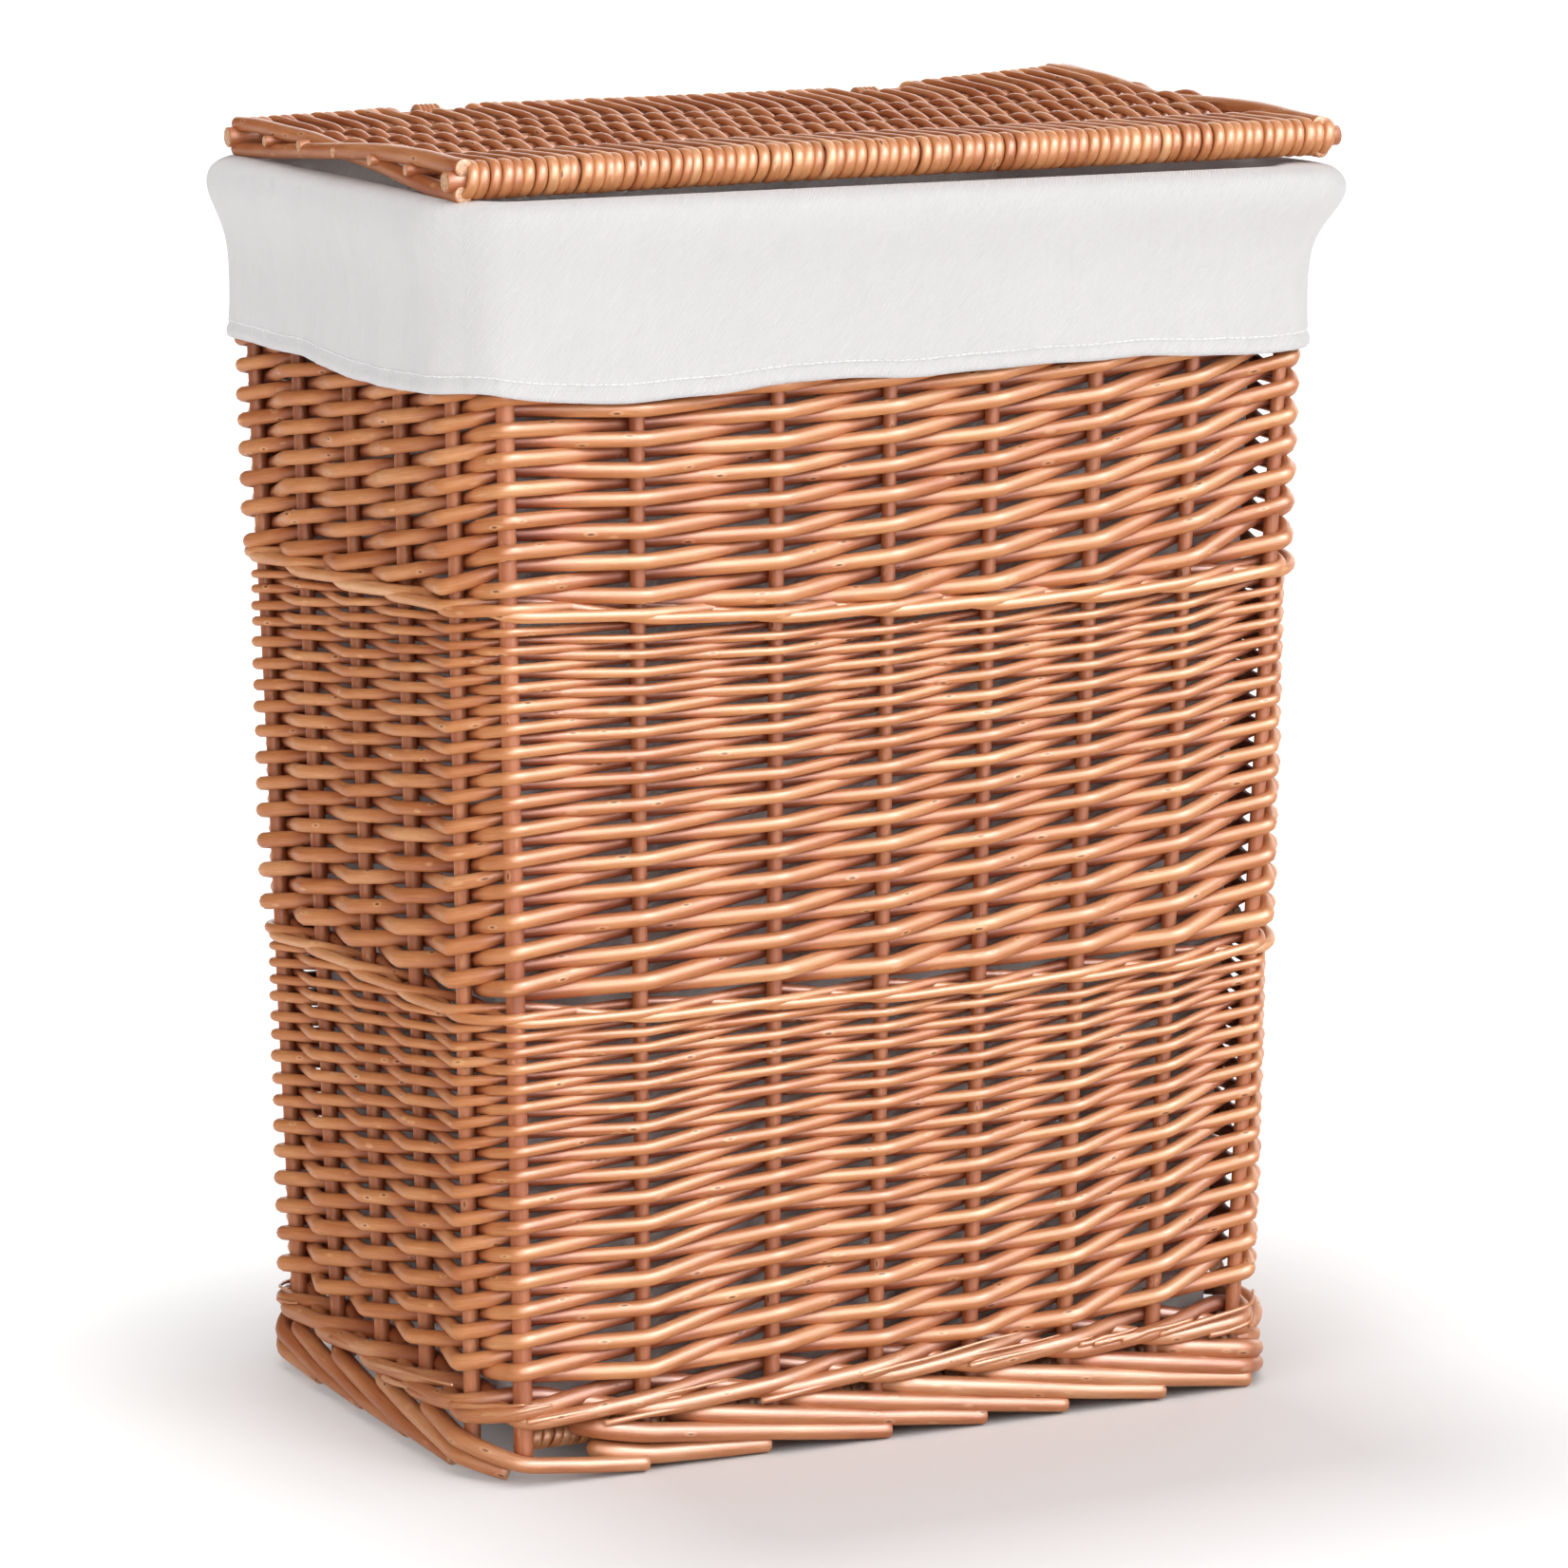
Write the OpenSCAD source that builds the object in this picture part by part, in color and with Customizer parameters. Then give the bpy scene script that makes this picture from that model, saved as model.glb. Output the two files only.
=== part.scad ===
// Rectangular woven laundry basket with a hinged woven lid and a removable fabric liner.
// Millimetres. Z is up, the origin is on the floor under the middle, and the front faces -Y.

/* [Body] */
// Width across the line of stakes, at the floor
floor_width = 387; // [300:1:500]
// Depth across the line of stakes, at the floor
floor_depth = 242.5; // [180:0.5:340]
// Width across the line of stakes, at the top of the rim
rim_width = 414.5; // [300:0.5:520]
// Depth across the line of stakes, at the top of the rim
rim_depth = 275; // [180:0.5:360]
// Height of the top of the rim border
rim_top = 562; // [400:1:700]
// Distance of the first front stake from the corner
front_inset = 14; // [5:1:40]
// Distance of the first side stake from the corner
side_inset = 23; // [5:1:40]

/* [Stakes] */
// Radius of an upright stake
stake_radius = 4; // [2:0.1:6]
// Height of the lower end of a stake
stake_bottom = 8; // [4:1:20]
// Height of the upper end of a stake
stake_top = 558; // [400:1:690]
// Radial room between a stake and the weave round it
stake_room = 0.05; // [0.01:0.01:0.1]

/* [Bands] */
// Height of the top of the foot border
foot_top = 24; // [15:1:40]
// Height of the top of the first waling
upsett_top = 43; // [30:1:70]
// Height of the top of the lower woven band
lower_weave_top = 206; // [120:1:260]
// Height of the top of the lower waling
lower_wale_top = 218; // [130:1:280]
// Height of the top of the middle woven band
middle_weave_top = 380; // [300:1:440]
// Height of the top of the upper waling
upper_wale_top = 391; // [310:1:450]
// Height of the top of the upper woven band
upper_weave_top = 546; // [450:1:680]
// How far a woven band stands out from the line of stakes
weave_out = 9; // [5:0.5:14]
// How far a border stands out from the line of stakes
border_out = 12; // [6:0.5:18]
// How far the foot border reaches in from the line of stakes
foot_in = 8; // [4:0.5:14]

/* [Base] */
// Height of the underside of the woven base
base_low = 9; // [4:1:20]
// Thickness of the woven base
base_thick = 12; // [8:0.5:20]
// Radius of the base's edge rods
base_rod_radius = 4; // [2:0.1:6]
// Radius of the base's inner sticks
base_stick_radius = 3.5; // [2:0.1:6]
// Distance of the rods' ends from the base's short edges
base_rod_end = 12; // [6:1:30]
// Distance of the edge rods from the base's long edges
base_rod_edge = 7; // [5:1:20]

/* [Lid] */
// Height of the lid's middle plane and of its hinge line
lid_height = 577.5; // [400:0.5:720]
// Distance of the front and back rods from the middle
lid_rod_y = 124; // [80:1:170]
// Radius of the front and back rods
lid_rod_radius = 6; // [3:0.1:9]
// Outside radius of the weave wrapped round those rods
lid_wrap_radius = 8.8; // [5:0.1:12]
// Half of the length of the lid's woven part
lid_weave_half = 203; // [150:1:250]
// Half of the length of the rods without their thin ends
lid_rod_half = 207; // [150:1:255]
// Half of the length of the rods with their thin ends
lid_tip_half = 217; // [155:1:265]
// Radius of the thin ends
lid_tip_radius = 2.6; // [1:0.1:4]
// Radius of the lid's inner sticks
lid_stick_radius = 3.2; // [2:0.1:5]
// Distance between the lid's inner sticks
lid_stick_pitch = 40; // [20:1:60]
// Thickness of the lid's weave
lid_weave_thick = 11; // [7:0.5:16]
// Radius of the paired rods across each end
lid_end_radius = 3.7; // [2:0.1:5]
// Height of those rods above and below the middle plane
lid_end_rise = 6.4; // [4:0.1:9]
// Distance of the end rods from the middle
lid_end_x = 212; // [150:1:260]
// How far the end rods reach in front of the front rod's middle
lid_end_front = 3; // [0:0.5:8]
// How far the end rods reach behind the back rod's middle
lid_end_back = 2; // [0:0.5:8]
// How far the weave's flat part stops short of the front and back rods
lid_slab_short = 6; // [2:0.5:8]

/* [Hinge loops] */
// Distance of each hinge loop from the middle
loop_x = 114; // [60:1:180]
// Width of a hinge loop
loop_width = 14; // [6:1:24]
// Radial room between a loop and the lid's back rod
loop_room = 0.35; // [0.1:0.05:1]
// Outside radius of a loop
loop_radius = 9; // [7:0.1:14]
// Half of the gap left in the wrapping for a loop
loop_gap = 12; // [8:1:20]
// Room between a loop and the weave in front of it
loop_clear = 1.5; // [0.5:0.1:4]
// Height of the lower end of the loop's leg
loop_leg_low = 549; // [400:1:600]
// Width of the loop's leg
loop_leg_width = 10; // [5:1:14]
// Depth of the loop's leg
loop_leg_depth = 6; // [3:0.5:9]
// Distance of the leg's near face behind the hinge line
loop_leg_back = 3; // [0:0.5:5]

/* [Liner] */
// Thickness of the cloth with its folds
cloth = 1.2; // [0.5:0.1:3]
// How far the inside of the cuff stands out from the line of stakes
cuff_out = 12.3; // [6:0.1:20]
// How far the outside of the bag lies in from the line of stakes
bag_in = 12.3; // [6:0.1:20]
// Height of the cuff's lower edge
cuff_low = 484; // [400:1:540]
// Height of the cloth where it is turned over the rim
turnover_top = 566.6; // [400:0.1:700]
// Width of the slots in the cloth for the hinge legs
slot_width = 17; // [12:0.5:30]
// Depth of those slots
slot_depth = 9; // [7:0.5:14]
// Distance of the slots behind the hinge line
slot_back = 1.5; // [0:0.5:3]
// Height of the underside of the bag
bag_low = 23.2; // [21:0.1:40]

/* [Hidden] */
willow = [0.80, 0.53, 0.33];
willow_light = [0.86, 0.62, 0.42];
willow_dark = [0.70, 0.43, 0.25];
cotton = [0.93, 0.92, 0.90];
front_stops = [-1, -0.676, -0.322, -0.032, 0.234, 0.506, 0.764, 1];
back_stops = [-1, -0.72, -0.46, -0.16, 0.16, 0.46, 0.72, 1];
left_stops = [1, 0.536, 0.018, -0.496, -1];
right_stops = [-1, -0.5, 0, 0.5, 1];
step = 1;
round_fn = 96;
hole_sides = 12;
// Share of an offset that is given to each cut corner of the outline
corner_share = 0.4;
base_room = 0.1;
base_half = floor_width / 2 - foot_in - base_rod_end;
base_rod_y = floor_depth / 2 - foot_in - base_rod_edge;
base_mid = base_low + base_thick / 2;
base_stick_pitch = base_rod_y / 2;
hinge_cut = 40;

function line_width(z) = floor_width + (rim_width - floor_width) * z / rim_top;
function line_depth(z) = floor_depth + (rim_depth - floor_depth) * z / rim_top;
function front_point(i, z) = [
  front_stops[i] * (line_width(z) / 2 - front_inset), -line_depth(z) / 2, z];
function back_point(i, z) = [
  back_stops[i] * (line_width(z) / 2 - front_inset), line_depth(z) / 2, z];
function left_point(i, z) = [
  -line_width(z) / 2, left_stops[i] * (line_depth(z) / 2 - side_inset), z];
function right_point(i, z) = [
  line_width(z) / 2, right_stops[i] * (line_depth(z) / 2 - side_inset), z];

// A round rod between two points, or a many-sided one when sides is small.
module rod(low, high, radius, sides = round_fn) {
  along = high - low;
  lean = acos(along[2] / norm(along));
  turn = atan2(along[1], along[0]);
  translate(low)
    rotate([0, lean, turn])
      cylinder(h = norm(along), r = radius, $fn = sides);
}

// A round rod along X.
module rod_x(low_x, high_x, y, z, radius) {
  translate([low_x, y, z])
    rotate([0, 90, 0])
      cylinder(h = high_x - low_x, r = radius, $fn = round_fn);
}

// The body's outline at one height, grown outwards from the line of stakes.
module outline(z, grow) {
  half_w = line_width(z) / 2 + grow;
  half_d = line_depth(z) / 2 + grow;
  cut_x = line_width(z) / 2 - front_inset + corner_share * grow;
  cut_y = line_depth(z) / 2 - side_inset + corner_share * grow;
  polygon([
    [-cut_x, -half_d], [cut_x, -half_d], [half_w, -cut_y], [half_w, cut_y],
    [cut_x, half_d], [-cut_x, half_d], [-half_w, cut_y], [-half_w, -cut_y]
  ]);
}

// A solid block that follows the body's outward lean between two heights.
module leaning_block(low, high, grow) {
  low_w = line_width(low) / 2 + grow;
  low_d = line_depth(low) / 2 + grow;
  high_w = line_width(high) / 2 + grow;
  high_d = line_depth(high) / 2 + grow;
  translate([0, 0, low])
    linear_extrude(height = high - low, scale = [high_w / low_w, high_d / low_d], slices = 1)
      outline(low, grow);
}

module leaning_ring(low, high, outer, inner) {
  difference() {
    leaning_block(low, high, outer);
    leaning_block(low - step, high + step, inner);
  }
}

// Room for all of the stakes: twelve-sided holes that just clear the round rods.
module stake_holes() {
  low = stake_bottom - stake_room;
  high = stake_top + stake_room;
  radius = (stake_radius + stake_room) / cos(180 / hole_sides);
  for (i = [0:7]) {
    rod(front_point(i, low), front_point(i, high), radius, hole_sides);
    rod(back_point(i, low), back_point(i, high), radius, hole_sides);
  }
  for (i = [0:4]) {
    rod(left_point(i, low), left_point(i, high), radius, hole_sides);
    rod(right_point(i, low), right_point(i, high), radius, hole_sides);
  }
}

module woven_ring(low, high, outer, inner) {
  difference() {
    leaning_ring(low, high, outer, inner);
    stake_holes();
  }
}

module foot_border() {
  color(willow_light) woven_ring(0, foot_top, border_out, -foot_in);
}

module upsett_wale() {
  color(willow) woven_ring(foot_top, upsett_top, weave_out, -weave_out);
}

module lower_weave_band() {
  color(willow) woven_ring(upsett_top, lower_weave_top, weave_out, -weave_out);
}

module lower_wale() {
  color(willow_light) woven_ring(lower_weave_top, lower_wale_top, weave_out, -weave_out);
}

module middle_weave_band() {
  color(willow) woven_ring(lower_wale_top, middle_weave_top, weave_out, -weave_out);
}

module upper_wale() {
  color(willow_light) woven_ring(middle_weave_top, upper_wale_top, weave_out, -weave_out);
}

module upper_weave_band() {
  color(willow) woven_ring(upper_wale_top, upper_weave_top, weave_out, -weave_out);
}

module rim_border() {
  color(willow_light)
    difference() {
      woven_ring(upper_weave_top, rim_top, border_out, -border_out);
      for (side = [-1, 1])
        loop_leg(side, stake_room);
    }
}

module front_stake(i) {
  color(willow_dark) rod(front_point(i, stake_bottom), front_point(i, stake_top), stake_radius);
}

module back_stake(i) {
  color(willow_dark) rod(back_point(i, stake_bottom), back_point(i, stake_top), stake_radius);
}

module left_stake(i) {
  color(willow_dark) rod(left_point(i, stake_bottom), left_point(i, stake_top), stake_radius);
}

module right_stake(i) {
  color(willow_dark) rod(right_point(i, stake_bottom), right_point(i, stake_top), stake_radius);
}

module base_edge_rod(side) {
  color(willow_dark) rod_x(-base_half, base_half, side * base_rod_y, base_mid, base_rod_radius);
}

module base_inner_stick(i) {
  color(willow_dark) rod_x(-base_half, base_half, i * base_stick_pitch, base_mid, base_stick_radius);
}

module base_weave() {
  end = base_half + stake_room;
  color(willow)
    difference() {
      leaning_block(base_low, base_low + base_thick, -foot_in - base_room);
      for (side = [-1, 1])
        rod_x(-end, end, side * base_rod_y, base_mid, base_rod_radius + stake_room);
      for (i = [-1:1])
        rod_x(-end, end, i * base_stick_pitch, base_mid, base_stick_radius + stake_room);
    }
}

// The leg of a hinge loop, which is pushed down into the rim border.
module loop_leg(side, room) {
  leg_half = loop_leg_width / 2 + room;
  leg_y = lid_rod_y + loop_leg_back - room;
  translate([side * loop_x - leg_half, leg_y, loop_leg_low - room])
    cube([2 * leg_half, loop_leg_depth + 2 * room, lid_height - loop_leg_low]);
}

module hinge_loop(side) {
  low_x = side * loop_x - loop_width / 2;
  color(willow_light)
    difference() {
      union() {
        rod_x(low_x, low_x + loop_width, lid_rod_y, lid_height, loop_radius);
        loop_leg(side, 0);
      }
      rod_x(low_x - step, low_x + loop_width + step, lid_rod_y, lid_height, lid_rod_radius + loop_room);
    }
}

module hinge_loop_left() {
  hinge_loop(-1);
}

module hinge_loop_right() {
  hinge_loop(1);
}

module liner_bag() {
  color(cotton)
    difference() {
      leaning_block(bag_low, turnover_top - cloth, -bag_in);
      leaning_block(bag_low + cloth, turnover_top + step, -bag_in - cloth);
    }
}

module liner_cuff() {
  slot_low = turnover_top - cloth - step;
  color(cotton)
    difference() {
      union() {
        leaning_ring(cuff_low, turnover_top - cloth, cuff_out + cloth, cuff_out);
        difference() {
          leaning_block(turnover_top - cloth, turnover_top, cuff_out + cloth);
          leaning_block(turnover_top - cloth - step, turnover_top + step, -bag_in - cloth);
        }
      }
      for (side = [-1, 1])
        translate([side * loop_x - slot_width / 2, lid_rod_y + slot_back, slot_low])
          cube([slot_width, slot_depth, turnover_top + step - slot_low]);
    }
}

// A lid rod along X, with a thin end each side for the end rods to hold.
module lid_rod(y, radius) {
  color(willow_dark) {
    rod_x(-lid_rod_half, lid_rod_half, y, lid_height, radius);
    rod_x(-lid_tip_half, lid_tip_half, y, lid_height, lid_tip_radius);
  }
}

module lid_front_rod() {
  lid_rod(-lid_rod_y, lid_rod_radius);
}

module lid_back_rod() {
  lid_rod(lid_rod_y, lid_rod_radius);
}

module lid_inner_stick(i) {
  lid_rod(i * lid_stick_pitch, lid_stick_radius);
}

module lid_end_rod(side, level) {
  low_y = -lid_rod_y - lid_end_front;
  high_y = lid_rod_y + lid_end_back;
  color(willow_light)
    translate([side * lid_end_x, high_y, lid_height + level * lid_end_rise])
      rotate([90, 0, 0])
        cylinder(h = high_y - low_y, r = lid_end_radius, $fn = round_fn);
}

module lid_end_rod_left_upper() {
  lid_end_rod(-1, 1);
}

module lid_end_rod_left_lower() {
  lid_end_rod(-1, -1);
}

module lid_end_rod_right_upper() {
  lid_end_rod(1, 1);
}

module lid_end_rod_right_lower() {
  lid_end_rod(1, -1);
}

module lid_weave() {
  half = lid_weave_half;
  slab_y = lid_rod_y - lid_slab_short;
  gap_y = lid_rod_y - loop_radius - loop_clear;
  color(willow)
    difference() {
      union() {
        translate([-half, -slab_y, lid_height - lid_weave_thick / 2])
          cube([2 * half, 2 * slab_y, lid_weave_thick]);
        rod_x(-half, half, -lid_rod_y, lid_height, lid_wrap_radius);
        rod_x(-half, half, lid_rod_y, lid_height, lid_wrap_radius);
      }
      for (side = [-1, 1]) {
        rod_x(-half - step, half + step, side * lid_rod_y, lid_height, lid_rod_radius + stake_room);
        translate([side * loop_x - loop_gap, gap_y, lid_height - hinge_cut / 2])
          cube([2 * loop_gap, hinge_cut, hinge_cut]);
      }
      for (i = [-2:2])
        rod_x(-half - step, half + step, i * lid_stick_pitch, lid_height, lid_stick_radius + stake_room);
    }
}

module stake_front_1() {
  front_stake(0);
}

module stake_front_2() {
  front_stake(1);
}

module stake_front_3() {
  front_stake(2);
}

module stake_front_4() {
  front_stake(3);
}

module stake_front_5() {
  front_stake(4);
}

module stake_front_6() {
  front_stake(5);
}

module stake_front_7() {
  front_stake(6);
}

module stake_front_8() {
  front_stake(7);
}

module stake_back_1() {
  back_stake(0);
}

module stake_back_2() {
  back_stake(1);
}

module stake_back_3() {
  back_stake(2);
}

module stake_back_4() {
  back_stake(3);
}

module stake_back_5() {
  back_stake(4);
}

module stake_back_6() {
  back_stake(5);
}

module stake_back_7() {
  back_stake(6);
}

module stake_back_8() {
  back_stake(7);
}

module stake_left_1() {
  left_stake(0);
}

module stake_left_2() {
  left_stake(1);
}

module stake_left_3() {
  left_stake(2);
}

module stake_left_4() {
  left_stake(3);
}

module stake_left_5() {
  left_stake(4);
}

module stake_right_1() {
  right_stake(0);
}

module stake_right_2() {
  right_stake(1);
}

module stake_right_3() {
  right_stake(2);
}

module stake_right_4() {
  right_stake(3);
}

module stake_right_5() {
  right_stake(4);
}

module base_front_rod() {
  base_edge_rod(-1);
}

module base_back_rod() {
  base_edge_rod(1);
}

module base_stick_front() {
  base_inner_stick(-1);
}

module base_stick_middle() {
  base_inner_stick(0);
}

module base_stick_back() {
  base_inner_stick(1);
}

module lid_stick_1() {
  lid_inner_stick(-2);
}

module lid_stick_2() {
  lid_inner_stick(-1);
}

module lid_stick_3() {
  lid_inner_stick(0);
}

module lid_stick_4() {
  lid_inner_stick(1);
}

module lid_stick_5() {
  lid_inner_stick(2);
}

foot_border();
upsett_wale();
lower_weave_band();
lower_wale();
middle_weave_band();
upper_wale();
upper_weave_band();
rim_border();
stake_front_1();
stake_front_2();
stake_front_3();
stake_front_4();
stake_front_5();
stake_front_6();
stake_front_7();
stake_front_8();
stake_back_1();
stake_back_2();
stake_back_3();
stake_back_4();
stake_back_5();
stake_back_6();
stake_back_7();
stake_back_8();
stake_left_1();
stake_left_2();
stake_left_3();
stake_left_4();
stake_left_5();
stake_right_1();
stake_right_2();
stake_right_3();
stake_right_4();
stake_right_5();
base_front_rod();
base_back_rod();
base_stick_front();
base_stick_middle();
base_stick_back();
base_weave();
liner_bag();
liner_cuff();
hinge_loop_left();
hinge_loop_right();
lid_front_rod();
lid_back_rod();
lid_stick_1();
lid_stick_2();
lid_stick_3();
lid_stick_4();
lid_stick_5();
lid_end_rod_left_upper();
lid_end_rod_left_lower();
lid_end_rod_right_upper();
lid_end_rod_right_lower();
lid_weave();
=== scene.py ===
"""Looks of the woven laundry basket: willow body and lid, cotton liner, floor, light and camera.

Shapes are worked out in millimetres, from the boxes of the CAD nodes, and turned into metres
when a mesh is made. The stakes are counted against the clock, seen from above, from the near
corner, so a larger stake number is further to the right for someone who looks at the outside.
"""

import math

import bpy
import numpy as np
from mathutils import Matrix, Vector


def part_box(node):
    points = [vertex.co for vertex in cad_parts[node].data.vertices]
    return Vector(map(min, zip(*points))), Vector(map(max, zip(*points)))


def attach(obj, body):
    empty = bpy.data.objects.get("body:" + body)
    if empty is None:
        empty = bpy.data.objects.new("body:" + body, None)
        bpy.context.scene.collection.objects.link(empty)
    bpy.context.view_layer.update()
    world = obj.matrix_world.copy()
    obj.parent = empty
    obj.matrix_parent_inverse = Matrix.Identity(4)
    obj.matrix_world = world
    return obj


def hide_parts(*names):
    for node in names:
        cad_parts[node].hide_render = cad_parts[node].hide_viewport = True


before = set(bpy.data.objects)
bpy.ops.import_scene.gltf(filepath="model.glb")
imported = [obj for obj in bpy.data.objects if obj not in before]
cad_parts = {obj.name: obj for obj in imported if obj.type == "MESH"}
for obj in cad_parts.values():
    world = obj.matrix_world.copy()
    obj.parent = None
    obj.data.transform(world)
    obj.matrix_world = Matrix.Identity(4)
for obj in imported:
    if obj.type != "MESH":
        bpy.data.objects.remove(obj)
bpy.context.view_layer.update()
rng = np.random.default_rng(11)

MM = 0.001
STAKES = 26
STAKE_R = 4.0
UP = (0.0, 0.0, 1.0)


# ---------------------------------------------------------------- places on the frame


def box_mm(node):
    low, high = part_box(node)
    return np.array(low) / MM, np.array(high) / MM


def stake_names():
    front = [f"stake_front_{i}" for i in range(1, 9)]
    right = [f"stake_right_{i}" for i in range(1, 6)]
    back = [f"stake_back_{i}" for i in range(8, 0, -1)]
    left = [f"stake_left_{i}" for i in range(1, 6)]
    return front + right + back + left


def stake_ends(node):
    """Middle of a stake's lower and upper end; every stake leans outwards."""
    low, high = box_mm(node)
    outward = (low + high)[:2] > 0
    foot = np.where(outward, low[:2] + STAKE_R, high[:2] - STAKE_R)
    head = np.where(outward, high[:2] - STAKE_R, low[:2] + STAKE_R)
    return np.append(foot, low[2]), np.append(head, high[2])


NAMES = stake_names()
FEET, HEADS = (np.array(p) for p in zip(*[stake_ends(n) for n in NAMES]))


def stake_normals():
    """Outward direction at each stake, halfway between those of the two sides it joins."""
    middle = (FEET + HEADS)[:, :2] / 2
    ahead = np.roll(middle, -1, 0) - middle
    ahead /= np.linalg.norm(ahead, axis=1)[:, None]
    along = ahead + np.roll(ahead, 1, 0)
    out = np.stack([along[:, 1], -along[:, 0]], 1)
    return out / np.linalg.norm(out, axis=1)[:, None]


NORMALS = stake_normals()


def place(u, z, out):
    """Points at stake number u (with parts of a step), height z, and out mm outside the stakes."""
    u, z, out = np.broadcast_arrays(*[np.asarray(v, float) for v in (u, z, out)])
    first = np.floor(u).astype(int)
    share = (u - first)[:, None]
    first, second = first % STAKES, (first + 1) % STAKES
    rise = ((z - FEET[0, 2]) / (HEADS[0, 2] - FEET[0, 2]))[:, None]
    a = FEET[first] + (HEADS[first] - FEET[first]) * rise
    b = FEET[second] + (HEADS[second] - FEET[second]) * rise
    flat = (a + (b - a) * share)[:, :2]
    n = NORMALS[first] * (1 - share) + NORMALS[second] * share
    n /= np.linalg.norm(n, axis=1)[:, None]
    return np.column_stack([flat + n * out[:, None], z])


# ---------------------------------------------------------------- small helpers


def smooth(path, times=2):
    """Rounds off a path of points, or a list of values, but keeps its two ends."""
    for _ in range(times):
        path[1:-1] = path[1:-1] * 0.5 + (path[:-2] + path[2:]) * 0.25
    return path


def ease(t, soft=0.6):
    """From 0 to 1, slower at both ends; soft is how much slower, up to 1."""
    return (1 - soft) * t + soft * t * t * (3 - 2 * t)


def hump(x, middle, wide):
    """A smooth hump, 1 high, that is down to about a third at wide from its middle."""
    return np.exp(-(((x - middle) / wide) ** 2))


def lengths_along(points):
    """How far along a path each of its points is."""
    return np.append(0, np.cumsum(np.linalg.norm(np.diff(points, axis=0), axis=1)))


# How much rods bulge at each corner, as a share, by the stake just before it
CORNERS = {7: 1.0, 12: 0.8, 20: 0.35, 25: 0.35}
FINE = 1.5  # step of the even line that a rod's bends are rounded on
BEND_STEP = 3.0  # distance between a rod's points close to a bend


def corner_rows(keys, bulge):
    """The keys with their numbers, and one more halfway between two keys at a corner."""
    rows = []
    for i, key in enumerate(keys):
        rows.append((*key, float(i)))
        corner = CORNERS.get(int(np.floor(key[0])) % STAKES)
        if corner and i + 1 < len(keys):
            middle = (key + keys[i + 1]) / 2
            rows.append((middle[0], middle[1], middle[2] + bulge * corner, i + 0.5))
    return np.array(rows)


def rounded_bends(line, soft):
    """Rounds the bends of an even line, over about soft mm to each side."""
    reach = int(math.ceil(3 * soft / FINE))
    weight = np.exp(-0.5 * (np.arange(-reach, reach + 1) * FINE / soft) ** 2)
    weight /= weight.sum()
    padded = np.pad(line, ((reach, reach), (0, 0)), mode="reflect", reflect_type="odd")
    return np.column_stack([np.convolve(padded[:, c], weight, "valid") for c in range(3)])


def chosen(even, bends, spacing, near):
    """Which points of the even line to keep: more of them close to the bends."""
    gap = np.abs(even[:, None] - bends[None, :]).min(1)
    step = np.where(gap < near, BEND_STEP, spacing)
    return np.unique(np.floor(np.cumsum(FINE / step)), return_index=True)[1]


def trail(keys, spacing=9.0, soft=2.4, bulge=5.0):
    """A rod's middle line through (stake number, height, out) keys: straight, with a bend at each.

    Also gives how far along the keys each of its points is.
    """
    rows = corner_rows(np.asarray(keys, float), bulge)
    points = place(rows[:, 0], rows[:, 1], rows[:, 2])
    length = lengths_along(points)
    even = np.arange(0, length[-1], FINE)
    line = np.column_stack([np.interp(even, length, points[:, c]) for c in range(3)])
    line = rounded_bends(line, soft)
    keep = chosen(even, length, spacing, 2.2 * soft)
    return line[keep], np.interp(even, length, rows[:, 3])[keep]


def drift(n, step, size):
    """A slow random wander along a rod."""
    count = max(3, int(n * step) + 3)
    return np.interp(np.linspace(0, count - 1, n), np.arange(count), rng.normal(0, size, count))


# ---------------------------------------------------------------- rods to meshes


def cross_axes(path, ref):
    """The direction along a rod at each point, and two directions across it."""
    tangent = np.gradient(path, axis=0)
    tangent /= np.linalg.norm(tangent, axis=1)[:, None]
    n = np.cross(tangent, np.asarray(ref, float))
    n /= np.linalg.norm(n, axis=1)[:, None]
    return tangent, n, np.cross(n, tangent)


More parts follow.
